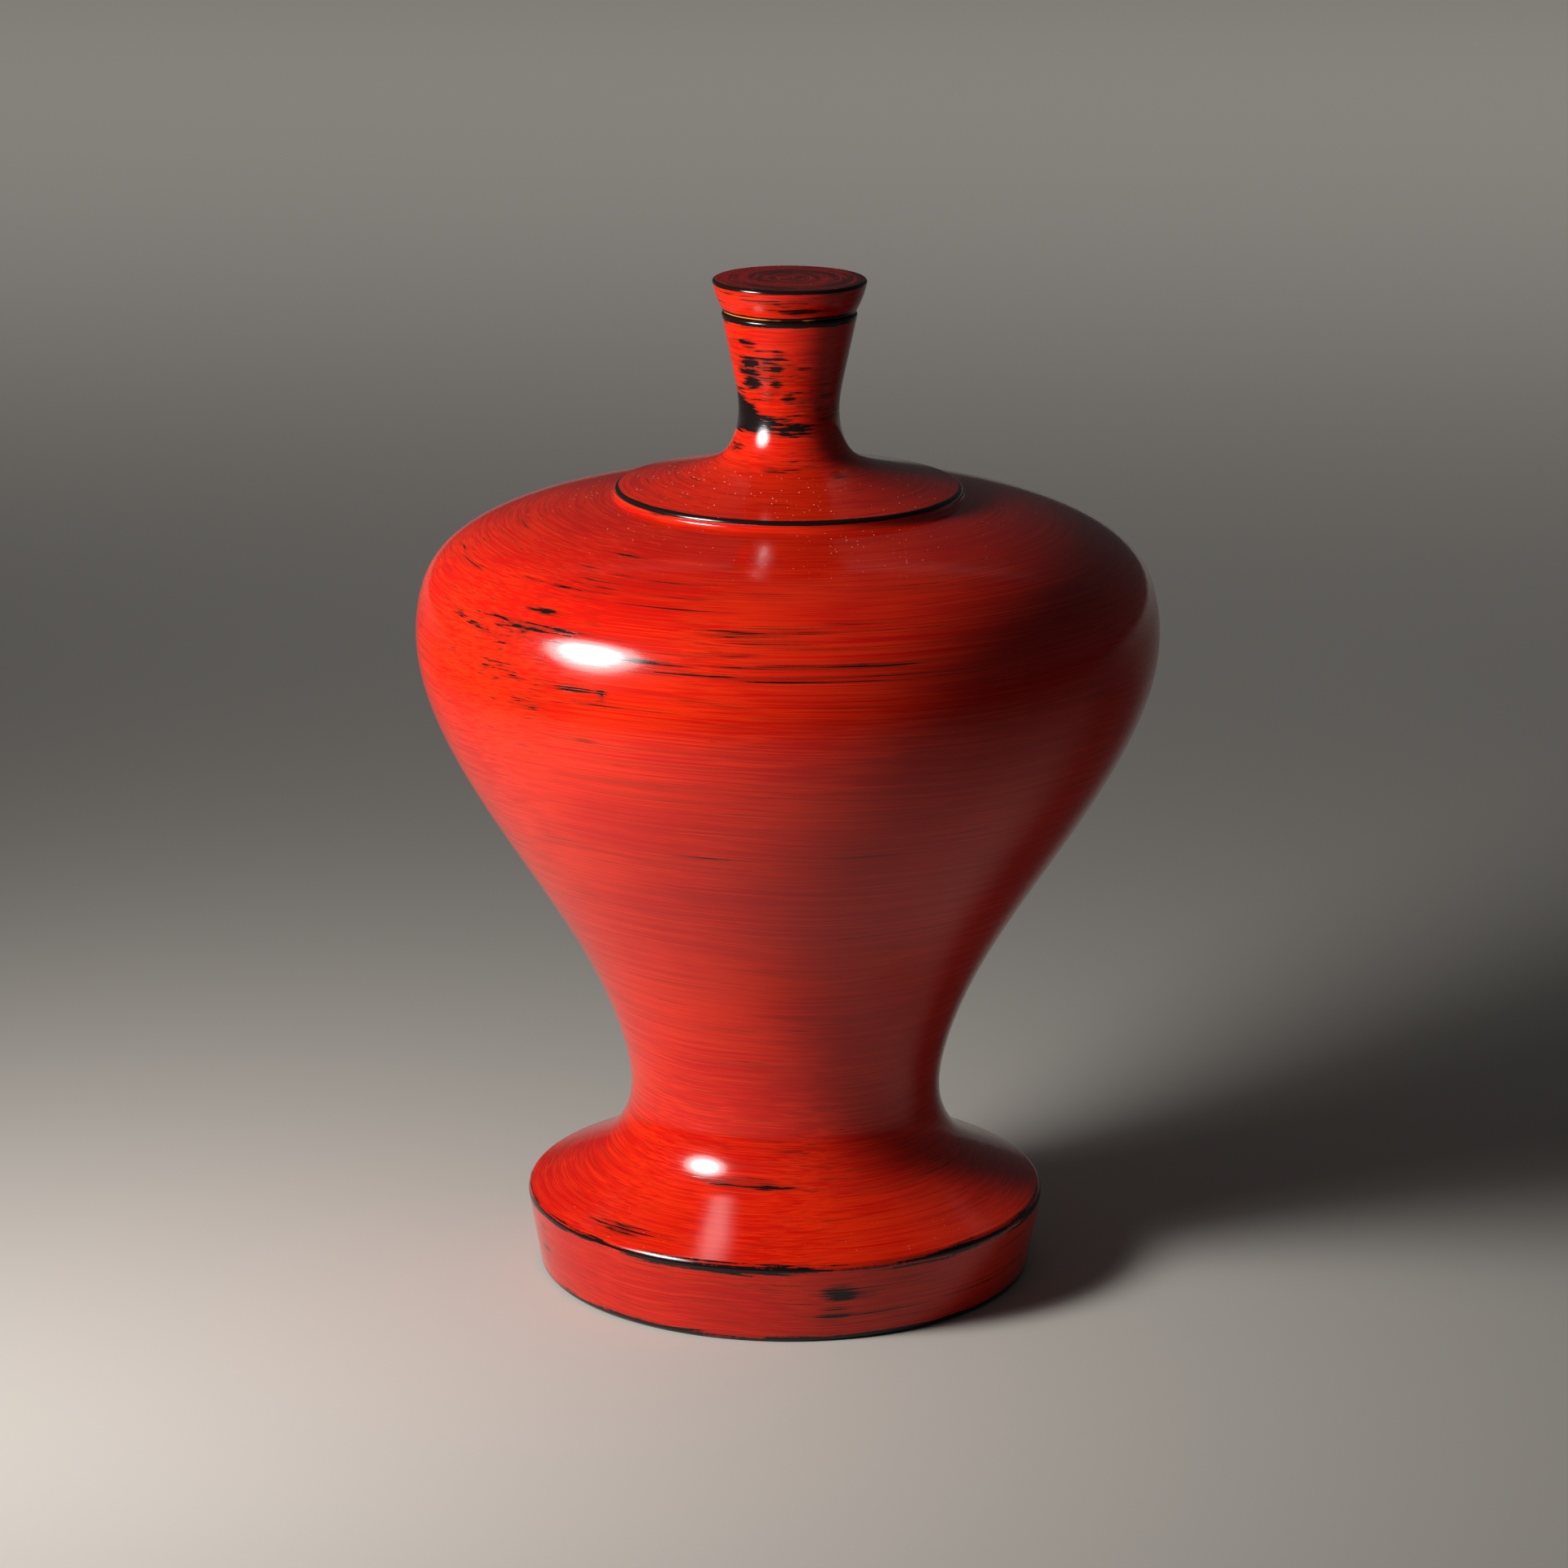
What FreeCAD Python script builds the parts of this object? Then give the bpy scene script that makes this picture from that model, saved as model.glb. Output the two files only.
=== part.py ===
"""A lacquered heishi: a turned wooden sake bottle with a waisted foot, a collared neck and a stopper.

Every member is a turning, so each one is a PartDesign body made of a Revolution, which is the blank,
and Grooves, which are what the lathe takes away.  Two smooth lines give nearly the whole outside:
the body line runs from the foot's upper edge to the collar, and the neck line from the collar's rim
to the mouth.  Members that meet on a line are cut from the same one, so the joined outside has no
step.

Millimetres, +Z up along the turning axis, origin at the centre of the foot's resting plane.
"""
import FreeCAD, Part
import math
import os

import Sketcher

# The driving dimensions.  A name ends in _z for a height, and in _r for a radius.
DIMENSIONS = {
    # foot: a thick disc that narrows downwards, with rounded edges and a hollow under it
    "foot_rest_r": 79.4,
    "foot_low_r": 81.2,
    "foot_low_z": 1.6,
    "foot_low_round": 1.9,
    "foot_top_r": 85.2,
    "foot_top_z": 24.6,
    "foot_top_round": 3.05,
    "hollow_mouth_r": 63.0,
    "hollow_top_r": 61.0,
    "hollow_z": 7.0,
    # waist joint: the foot's tenon in the belly's socket
    "waist_joint_z": 57.0,
    "waist_tenon_r": 34.0,
    "waist_tenon_z": 71.0,
    # cavity in the belly
    "cavity_floor_z": 84.0,
    "cavity_floor_r": 26.0,
    "cavity_wide_z": 212.0,
    # girth joint: the belly's upstanding tongue inside the shoulder
    "girth_joint_z": 226.0,
    "tongue_in_r": 107.0,
    "tongue_out_r": 112.0,
    "tongue_z": 232.0,
    # shoulder: its inner rim, and the flat underside of its crown
    "dome_rim_r": 104.0,
    "crown_r": 60.0,
    "crown_z": 251.6,
    # collar: a disc seated on the shoulder, with a spigot through the crown
    "seat_z": 259.4,
    "spigot_r": 22.0,
    "spigot_z": 252.0,
    "collar_low_r": 56.2,
    "collar_edge_r": 56.0,
    "collar_edge_z": 261.8,
    "collar_edge_round": 1.3,
    # neck joint: the neck's tenon in the collar's socket
    "neck_joint_z": 281.6,
    "neck_tenon_r": 13.0,
    "neck_tenon_z": 268.2,
    # mouth: the bore, its tapered seat for the plug, and the rim
    "bore_r": 9.5,
    "taper_z": 292.0,
    "mouth_r": 12.0,
    "lip_r": 20.9,
    "rim_z": 319.4,
    "rim_round": 0.85,
    # stopper: a plug under a head that flares upwards
    "plug_end_r": 8.3,
    "plug_end_z": 288.5,
    "plug_low_r": 9.1,
    "plug_low_z": 289.3,
    "plug_top_r": 11.8,
    "head_seat_r": 20.7,
    "head_low_r": 21.6,
    "head_low_z": 320.4,
    "head_low_round": 1.0,
    "head_side_round": 30.0,
    "head_edge_r": 24.75,
    "head_edge_z": 329.0,
    "head_edge_round": 1.0,
    "head_flat_r": 23.8,
    "total_z": 330.0,
    # glue lines round and past the tenons, and how far a cut runs outside the wood
    "glue_gap": 0.1,
    "end_gap": 0.3,
    "past_r": 140.0,
    "past_z": 345.0,
}

# The smooth lines' control points (radius, height), from the bottom up.
SMOOTH_LINES = {
    "body_line": [
        (83.5, 28.0), (63.7, 37.1), (53.7, 45.5), (48.1, 65.4), (63.5, 106.8), (93.3, 149.9),
        (117.3, 189.7), (124.1, 226.1), (108.6, 252.5), (56.8, 259.4),
    ],
    "neck_line": [
        (54.9, 263.0), (41.6, 265.9), (24.8, 270.0), (18.5, 274.8), (14.7, 288.4), (18.3, 301.5),
        (21.7, 318.6),
    ],
    "cavity_line": [(44.0, 84.0), (50.0, 97.0), (68.0, 128.0), (107.0, 184.0)],
    "dome_line": [(104.0, 241.0), (91.0, 247.0), (74.0, 251.6)],
}
SPLINE_DEGREE = 3

# The sketch's own references: the origin point, the turning axis and the radius axis.
ORIGIN = (-1, 1)
TURNING_AXIS = -2
RADIUS_AXIS = -1


def smooth_line(label):
    """The names of a smooth line's control points, as (radius, height) cells."""
    return [(f"{label}_{n}_r", f"{label}_{n}_z") for n in range(len(SMOOTH_LINES[label]))]


def fill_sheet(doc):
    """Keep every dimension and control point in a spreadsheet, one named cell each."""
    cells = dict(DIMENSIONS)
    for label, points in SMOOTH_LINES.items():
        for names, point in zip(smooth_line(label), points):
            cells.update(zip(names, point))
    sheet = doc.addObject("Spreadsheet::Sheet", "Dimensions")
    for row, (alias, number) in enumerate(cells.items(), start=1):
        sheet.set(f"A{row}", alias)
        sheet.set(f"B{row}", str(number))
        sheet.setAlias(f"B{row}", alias)
    doc.recompute()
    return sheet


class Outline:
    """A closed outline on a body's XZ plane, drawn stretch by stretch and bound to the sheet.

    A point is a (radius, height) pair.  Each of the two is 0, or a cell's name, or two names with
    + or - between them.
    """

    def __init__(self, body, label, sheet, start):
        plane = next(p for p in body.Origin.OriginFeatures if p.Role == "XZ_Plane")
        self.sheet = sheet
        self.sketch = body.newObject("Sketcher::SketchObject", label)
        self.sketch.AttachmentSupport = [(plane, "")]
        self.sketch.MapMode = "FlatFace"
        self.start = self.here = start
        self.head = self.tail = None

    def number(self, expression):
        """What an expression comes to, for drawing the stretch before it is bound."""
        if expression == 0:
            return 0.0
        total, sign = 0.0, 1
        for word in expression.split():
            if word in "+-":
                sign = 1 if word == "+" else -1
            else:
                total += sign * getattr(self.sheet, word)
        return total

    def vector(self, point):
        return FreeCAD.Vector(self.number(point[0]), self.number(point[1]), 0)

    def bind(self, constraint, expression):
        """Add a dimension, and let the sheet drive it."""
        index = self.sketch.addConstraint(constraint)
        words = [w if w in "+-" else f"Dimensions.{w}" for w in expression.split()]
        self.sketch.setExpression(f"Constraints[{index}]", " ".join(words))

    def tie(self, kind, vertex, other):
        self.sketch.addConstraint(Sketcher.Constraint(kind, *vertex, *other))

    def place(self, vertex, point):
        """Hold a vertex at its radius and height; a 0 holds it on that axis."""
        measures = zip(point, ("DistanceX", "DistanceY"), (TURNING_AXIS, RADIUS_AXIS))
        for expression, kind, axis in measures:
            if expression == 0:
                self.tie("PointOnObject", vertex, (axis,))
            else:
                size = self.number(expression)
                self.bind(Sketcher.Constraint(kind, *ORIGIN, *vertex, size), expression)

    def vertex_at(self, edge, point):
        """The end of an edge that lies at a point: an arc's ends may come in either order."""
        target = self.vector(point)
        return min(((edge, 1), (edge, 2)),
                   key=lambda end: self.sketch.getPoint(*end).distanceToPoint(target))

    def follow(self, edge, end):
        """Join a new edge, which runs from the current point to end, onto the outline."""
        tip = self.vertex_at(edge, self.here)
        self.place(tip, self.here)
        if self.tail is None:
            self.head = tip
        else:
            self.tie("Coincident", self.tail, tip)
        self.tail = self.vertex_at(edge, end)
        self.here = end

    def lines(self, *points):
        """Straight stretches through the points."""
        for point in points:
            segment = Part.LineSegment(self.vector(self.here), self.vector(point))
            self.follow(self.sketch.addGeometry(segment), point)
        return self

    def arc(self, round_cell, end):
        """A round stretch, bulging to the right of the way from here to end."""
        first, last = self.vector(self.here), self.vector(end)
        chord = last - first
        size = self.number(round_cell)
        bulge = size - math.sqrt(size ** 2 - (chord.Length / 2) ** 2)
        sideways = FreeCAD.Vector(chord.y, -chord.x, 0).normalize()
        edge = self.sketch.addGeometry(Part.Arc(first, (first + last) / 2 + sideways * bulge, last))
        self.bind(Sketcher.Constraint("Radius", edge, size), round_cell)
        self.follow(edge, end)
        return self

    def spline(self, middles, end):
        """A smooth stretch: a B-spline whose control points are here, the middles and end."""
        sketch = self.sketch
        points = [self.here] + middles + [end]
        places = [self.vector(point) for point in points]
        up = FreeCAD.Vector(0, 0, 1)
        poles = [sketch.addGeometry(Part.Circle(place, up, 1), True) for place in places]
        sketch.addConstraint(Sketcher.Constraint("Weight", poles[0], 1.0))
        for pole in poles[1:]:
            sketch.addConstraint(Sketcher.Constraint("Equal", poles[0], pole))
        curve = Part.BSplineCurve()
        curve.buildFromPoles(places, False, SPLINE_DEGREE)
        edge = sketch.addGeometry(curve)
        for index, pole in enumerate(poles):
            sketch.addConstraint(Sketcher.Constraint(
                "InternalAlignment:Sketcher::BSplineControlPoint", pole, 3, edge, index))
        for pole, point in zip(poles[1:-1], middles):
            self.place((pole, 3), point)
        self.follow(edge, end)
        return self

    def close(self):
        self.lines(self.start)
        self.tie("Coincident", self.tail, self.head)
        return self.sketch


def turn(body, label, feature, sketch):
    """Spin an outline about the turning axis, to add wood or to take it away."""
    turned = body.newObject(f"PartDesign::{feature}", label)
    turned.Profile = sketch
    turned.ReferenceAxis = (sketch, ["V_Axis"])
    turned.Angle = 360
    sketch.Visibility = False
    return turned


def member(doc, sheet, name, blank, *cuts):
    """One turned member: its blank, less each cut.  Every cut has to take wood away."""
    body = doc.addObject("PartDesign::Body", name)
    body.Label = name
    turn(body, f"{name}_blank", "Revolution", blank(body, f"{name}_blank_outline", sheet))
    doc.recompute()
    volume = body.Shape.Volume
    for number, cut in enumerate(cuts, start=1):
        outline = cut(body, f"{name}_cut{number}_outline", sheet)
        turn(body, f"{name}_cut{number}", "Groove", outline)
        doc.recompute()
        if not body.Shape.Volume < volume:
            raise RuntimeError(f"cut {number} of {name} takes nothing away")
        volume = body.Shape.Volume
    body.Placement = FreeCAD.Placement()
    return body


# Foot: disc, waist and tenon.

def foot_blank(body, label, sheet):
    line = smooth_line("body_line")
    outline = Outline(body, label, sheet, (0, 0))
    outline.lines(("foot_rest_r", 0))
    outline.arc("foot_low_round", ("foot_low_r", "foot_low_z"))
    outline.lines(("foot_top_r", "foot_top_z"))
    outline.arc("foot_top_round", line[0])
    outline.spline(line[1:-1], line[-1])
    outline.lines((0, line[-1][1]))
    return outline.close()


def foot_tenon_cut(body, label, sheet):
    """Everything above the waist joint, except the tenon."""
    outline = Outline(body, label, sheet, (0, "waist_tenon_z"))
    outline.lines(("waist_tenon_r", "waist_tenon_z"), ("waist_tenon_r", "waist_joint_z"),
                  ("past_r", "waist_joint_z"), ("past_r", "past_z"), (0, "past_z"))
    return outline.close()


def foot_hollow_cut(body, label, sheet):
    outline = Outline(body, label, sheet, (0, 0))
    outline.lines(("hollow_mouth_r", 0), ("hollow_top_r", "hollow_z"), (0, "hollow_z"))
    return outline.close()


# Belly: the large lower shell, from the waist to the girth.

def body_blank(body, label, sheet):
    """The whole body line, from which the belly and the shoulder are both cut."""
    line = smooth_line("body_line")
    outline = Outline(body, label, sheet, (0, line[0][1]))
    outline.lines(line[0])
    outline.spline(line[1:-1], line[-1])
    outline.lines((0, line[-1][1]))
    return outline.close()


def belly_socket_cut(body, label, sheet):
    """Everything below the waist joint, and the socket for the foot's tenon."""
    socket_r = "waist_tenon_r + glue_gap"
    socket_z = "waist_tenon_z + end_gap"
    outline = Outline(body, label, sheet, (0, 0))
    outline.lines(("past_r", 0), ("past_r", "waist_joint_z"), (socket_r, "waist_joint_z"),
                  (socket_r, socket_z), (0, socket_z))
    return outline.close()


def belly_cavity_cut(body, label, sheet):
    """The cavity, and everything above the girth joint except the tongue."""
    outline = Outline(body, label, sheet, (0, "cavity_floor_z"))
    outline.lines(("cavity_floor_r", "cavity_floor_z"))
    outline.spline(smooth_line("cavity_line"), ("tongue_in_r", "cavity_wide_z"))
    outline.lines(("tongue_in_r", "tongue_z"), ("tongue_out_r", "tongue_z"),
                  ("tongue_out_r", "girth_joint_z"), ("past_r", "girth_joint_z"),
                  ("past_r", "past_z"), (0, "past_z"))
    return outline.close()


# Shoulder: the dome from the girth to the collar's seat.

def shoulder_cut(body, label, sheet):
    """Everything below the girth joint, the rebate for the tongue, the dome and the crown's hole."""
    rebate_r = "tongue_out_r + glue_gap"
    rebate_z = "tongue_z + end_gap"
    hole_r = "spigot_r + glue_gap"
    outline = Outline(body, label, sheet, (0, 0))
    outline.lines(("past_r", 0), ("past_r", "girth_joint_z"), (rebate_r, "girth_joint_z"),
                  (rebate_r, rebate_z), ("dome_rim_r", rebate_z))
    outline.spline(smooth_line("dome_line"), ("crown_r", "crown_z"))
    outline.lines((hole_r, "crown_z"), (hole_r, "past_z"), (0, "past_z"))
    return outline.close()


# Collar: the disc on the shoulder, with its spigot below and the lower part of the neck above.

def collar_blank(body, label, sheet):
    line = smooth_line("neck_line")
    outline = Outline(body, label, sheet, (0, "spigot_z"))
    outline.lines(("spigot_r", "spigot_z"), ("spigot_r", "seat_z"), ("collar_low_r", "seat_z"),
                  ("collar_edge_r", "collar_edge_z"))
    outline.arc("collar_edge_round", line[0])
    outline.spline(line[1:-1], line[-1])
    outline.lines((0, line[-1][1]))
    return outline.close()


def collar_socket_cut(body, label, sheet):
    """The bore, the socket for the neck's tenon, and everything above the neck joint."""
    socket_r = "neck_tenon_r + glue_gap"
    socket_z = "neck_tenon_z - end_gap"
    outline = Outline(body, label, sheet, (0, 0))
    outline.lines(("bore_r", 0), ("bore_r", socket_z), (socket_r, socket_z),
                  (socket_r, "neck_joint_z"), ("past_r", "neck_joint_z"), ("past_r", "past_z"),
                  (0, "past_z"))
    return outline.close()


# Neck: the tube from the neck joint to the mouth's rim.

def neck_blank(body, label, sheet):
    line = smooth_line("neck_line")
    outline = Outline(body, label, sheet, (0, line[0][1]))
    outline.lines(line[0])
    outline.spline(line[1:-1], line[-1])
    outline.arc("rim_round", ("lip_r", "rim_z"))
    outline.lines((0, "rim_z"))
    return outline.close()


def neck_tenon_cut(body, label, sheet):
    """Everything below the neck joint, except the tenon."""
    outline = Outline(body, label, sheet, (0, 0))
    outline.lines(("past_r", 0), ("past_r", "neck_joint_z"), ("neck_tenon_r", "neck_joint_z"),
                  ("neck_tenon_r", "neck_tenon_z"), (0, "neck_tenon_z"))
    return outline.close()


def neck_bore_cut(body, label, sheet):
    """The bore, widened towards the rim to take the plug."""
    outline = Outline(body, label, sheet, (0, "spigot_z"))
    outline.lines(("bore_r", "spigot_z"), ("bore_r", "taper_z"), ("mouth_r", "rim_z"),
                  ("mouth_r", "past_z"), (0, "past_z"))
    return outline.close()


# Stopper: one turning, head and plug together.  Nothing is cut from its blank.

def stopper_blank(body, label, sheet):
    outline = Outline(body, label, sheet, (0, "plug_end_z"))
    outline.lines(("plug_end_r", "plug_end_z"), ("plug_low_r", "plug_low_z"),
                  ("plug_top_r", "rim_z"), ("head_seat_r", "rim_z"))
    outline.arc("head_low_round", ("head_low_r", "head_low_z"))
    outline.arc("head_side_round", ("head_edge_r", "head_edge_z"))
    outline.arc("head_edge_round", ("head_flat_r", "total_z"))
    outline.lines((0, "total_z"))
    return outline.close()


def build_members(doc, sheet):
    return [
        member(doc, sheet, "foot", foot_blank, foot_tenon_cut, foot_hollow_cut),
        member(doc, sheet, "belly", body_blank, belly_socket_cut, belly_cavity_cut),
        member(doc, sheet, "shoulder", body_blank, shoulder_cut),
        member(doc, sheet, "collar", collar_blank, collar_socket_cut),
        member(doc, sheet, "neck", neck_blank, neck_tenon_cut, neck_bore_cut),
        member(doc, sheet, "stopper", stopper_blank),
    ]


def check_document(doc, members):
    """Stop if any object failed to compute, or a member isn't one valid solid."""
    failed = [obj.Name for obj in doc.Objects if {"Invalid", "Error"} & set(obj.State)]
    if failed:
        raise RuntimeError(f"failed objects: {failed}")
    for body in members:
        shape = body.Shape
        if shape.isNull() or not shape.isValid() or len(shape.Solids) != 1:
            raise RuntimeError(f"{body.Label} isn't one valid solid")


def main():
    doc = FreeCAD.newDocument("heishi")
    sheet = fill_sheet(doc)
    members = build_members(doc, sheet)
    doc.recompute()
    check_document(doc, members)
    os.makedirs("parts", exist_ok=True)
    for body in members:
        body.Shape.exportStep(f"parts/{body.Label}.step")
        box = body.Shape.BoundBox
        print(f"{body.Label}: {body.Shape.Volume / 1000:.1f} cm3, radius {box.XMax:.2f},"
              f" z {box.ZMin:.2f} to {box.ZMax:.2f}")


main()
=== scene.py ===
"""The looks of the lacquered heishi: fine turned surfaces and worn red-over-black lacquer.

Lengths in the outlines are millimetres, as (radius, height) on the turning axis; Blender's own
lengths are metres.  Angles round the axis are degrees from the front (-Y), positive towards +X.
"""
import math
import random
from collections import namedtuple

import bpy
from mathutils import Matrix, Vector, noise


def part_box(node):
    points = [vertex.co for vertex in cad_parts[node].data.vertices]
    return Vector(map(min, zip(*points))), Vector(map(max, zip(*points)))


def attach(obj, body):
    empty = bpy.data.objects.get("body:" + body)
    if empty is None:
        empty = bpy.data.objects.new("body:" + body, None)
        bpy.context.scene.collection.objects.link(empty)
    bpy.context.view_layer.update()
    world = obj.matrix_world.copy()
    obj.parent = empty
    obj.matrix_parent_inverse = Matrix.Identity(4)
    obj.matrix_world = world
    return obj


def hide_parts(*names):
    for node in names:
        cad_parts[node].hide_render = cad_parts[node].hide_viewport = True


MM = 0.001
SEGMENTS = 256          # round a whole turn
STEP = 0.6              # between rings on a smooth line, in mm
NECK_STEP = 0.42        # between rings on the neck and the collar's flare
FINE_STEP = 0.25        # between rings on a small upright band
INSIDE_STEP = 4.0       # between rings in the cavity
TOUCHING_MM = 1e-6      # points closer than this are one point
CREASE_DEG = 32         # a sharper turn than this between faces is an edge
FIT_MM = 0.25           # how far a piece's box may be from its CAD node's
COVE_MM = 1.8           # how far the collar's cove of lacquer may stand proud of its node

# Heights that the outlines use.
HOLLOW_TOP_Z = 7.0
WAIST_JOINT_Z = 57.0
GIRTH_JOINT_Z = 226.0
SEAT_Z = 259.4
NECK_JOINT_Z = 281.6
RIM_Z = 319.4
TOP_Z = 330.0
ABOVE_ALL_Z = 400.0

# Glued joints: each tenon's radius and end, and the room that its socket leaves round it.
SIDE_GAP = 0.1
END_GAP = 0.3
FOOT_TENON_R = 34.0
FOOT_TENON_END_Z = 71.0
GIRTH_TENON_R = 112.0
GIRTH_TENON_END_Z = 232.0
SPIGOT_R = 22.0
SPIGOT_END_Z = 252.0
NECK_TENON_R = 13.0
NECK_TENON_END_Z = 268.2

# Inside: the bore, the mouth that widens from it, and the cavity.
BORE_R = 9.5
MOUTH_R = 12.0
MOUTH_BOTTOM_Z = 292.0
CAVITY_FLOOR_Z = 84.0
CAVITY_R = 107.0
CROWN_UNDER_Z = 251.6

# Lacquer fills the corner between the collar and the shoulder with a cove.
COVE_START = (57.9, 259.2)
COVE_END = (56.1, 260.7)
COVE_ROUND = 2.0
COLLAR_EDGE = (56.0, 261.8)

# The smooth lines that the members share, as the control points of cubic B-splines.
BODY_LINE = [
    (83.5, 28.0), (63.7, 37.1), (53.7, 45.5), (48.1, 65.4), (63.5, 106.8), (93.3, 149.9),
    (117.3, 189.7), (124.1, 226.1), (108.6, 252.5), (56.8, 259.4),
]
NECK_LINE = [
    (54.9, 263.0), (41.6, 265.9), (24.8, 270.0), (18.5, 274.8), (14.7, 288.4), (18.3, 301.5),
    (21.7, 318.6),
]
CAVITY_LINE = [
    (26.0, CAVITY_FLOOR_Z), (44.0, CAVITY_FLOOR_Z), (50.0, 97.0), (68.0, 128.0),
    (CAVITY_R, 184.0), (CAVITY_R, 212.0),
]
DOME_LINE = [
    (104.0, GIRTH_TENON_END_Z + END_GAP), (104.0, 241.0), (91.0, 247.0), (74.0, CROWN_UNDER_Z),
    (60.0, CROWN_UNDER_Z),
]


# Outlines -----------------------------------------------------------------------------------

OUTSIDE, INSIDE = 0, 1      # material numbers on every piece


def spline(points, samples=1200):
    """Points along the clamped cubic B-spline with these control points (de Boor's rule)."""
    degree = 3
    last = len(points) - degree
    knots = [0.0] * degree + [float(k) for k in range(last + 1)] + [float(last)] * degree
    line = []
    for sample in range(samples + 1):
        at = min(last * sample / samples, last - 1e-9)
        span = degree + int(at)
        pull = [Vector(points[span - degree + k]) for k in range(degree + 1)]
        for level in range(1, degree + 1):
            for k in range(degree, level - 1, -1):
                low = knots[span - degree + k]
                share = (at - low) / (knots[span + 1 + k - level] - low)
                pull[k] = pull[k - 1].lerp(pull[k], share)
        line.append(pull[degree])
    return line


def crossing(line, height):
    """Where a rising line passes a height, or its nearer end."""
    for a, b in zip(line, line[1:]):
        if a.y <= height <= b.y:
            return a.lerp(b, (height - a.y) / (b.y - a.y))
    return line[0] if height < line[0].y else line[-1]


def between(line, low, high):
    """The stretch of a rising line between two heights, cut exactly at both."""
    middle = [p for p in line if low + TOUCHING_MM < p.y < high - TOUCHING_MM]
    return [crossing(line, low)] + middle + [crossing(line, high)]


def arc(start, end, radius, steps=10):
    """A round edge that bulges to the right of the way from start to end; a negative radius
    bulges to the left."""
    first, last = Vector(start), Vector(end)
    chord = last - first
    side = math.copysign(1.0, radius)
    depth = math.sqrt(radius ** 2 - (chord.length / 2) ** 2)
    sideways = Vector((chord.y, -chord.x)).normalized() * side
    centre = (first + last) / 2 - sideways * depth
    low = math.atan2(*(first - centre).yx)
    turn = (math.atan2(*(last - centre).yx) - low + math.pi) % (2 * math.pi) - math.pi
    return [centre + abs(radius) * Vector((math.cos(a), math.sin(a)))
            for a in (low + turn * k / steps for k in range(steps + 1))]


def spaced(line, step):
    """The same line with its points about a step apart."""
    kept, run = [Vector(line[0])], 0.0
    for a, b in zip(line, line[1:]):
        run += (Vector(b) - Vector(a)).length
        if run >= step:
            kept.append(Vector(b))
            run = 0.0
    if (kept[-1] - Vector(line[-1])).length > step * 0.4 or len(kept) == 1:
        kept.append(Vector(line[-1]))
    else:
        kept[-1] = Vector(line[-1])
    return kept


def straight(start, end, step=STEP):
    """Points along a straight line, about a step apart."""
    first, last = Vector(start), Vector(end)
    count = max(1, round((last - first).length / step))
    return [first.lerp(last, k / count) for k in range(count + 1)]


def joined(stretches):
    """One outline out of several stretches, and for each of its steps its material number."""
    outline, kinds = [], []
    for points, kind in stretches:
        for point in points:
            if outline and (Vector(point) - outline[-1]).length < TOUCHING_MM:
                continue
            if outline:
                kinds.append(kind)
            outline.append(Vector(point))
    return outline, kinds


# Wear ---------------------------------------------------------------------------------------

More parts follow.
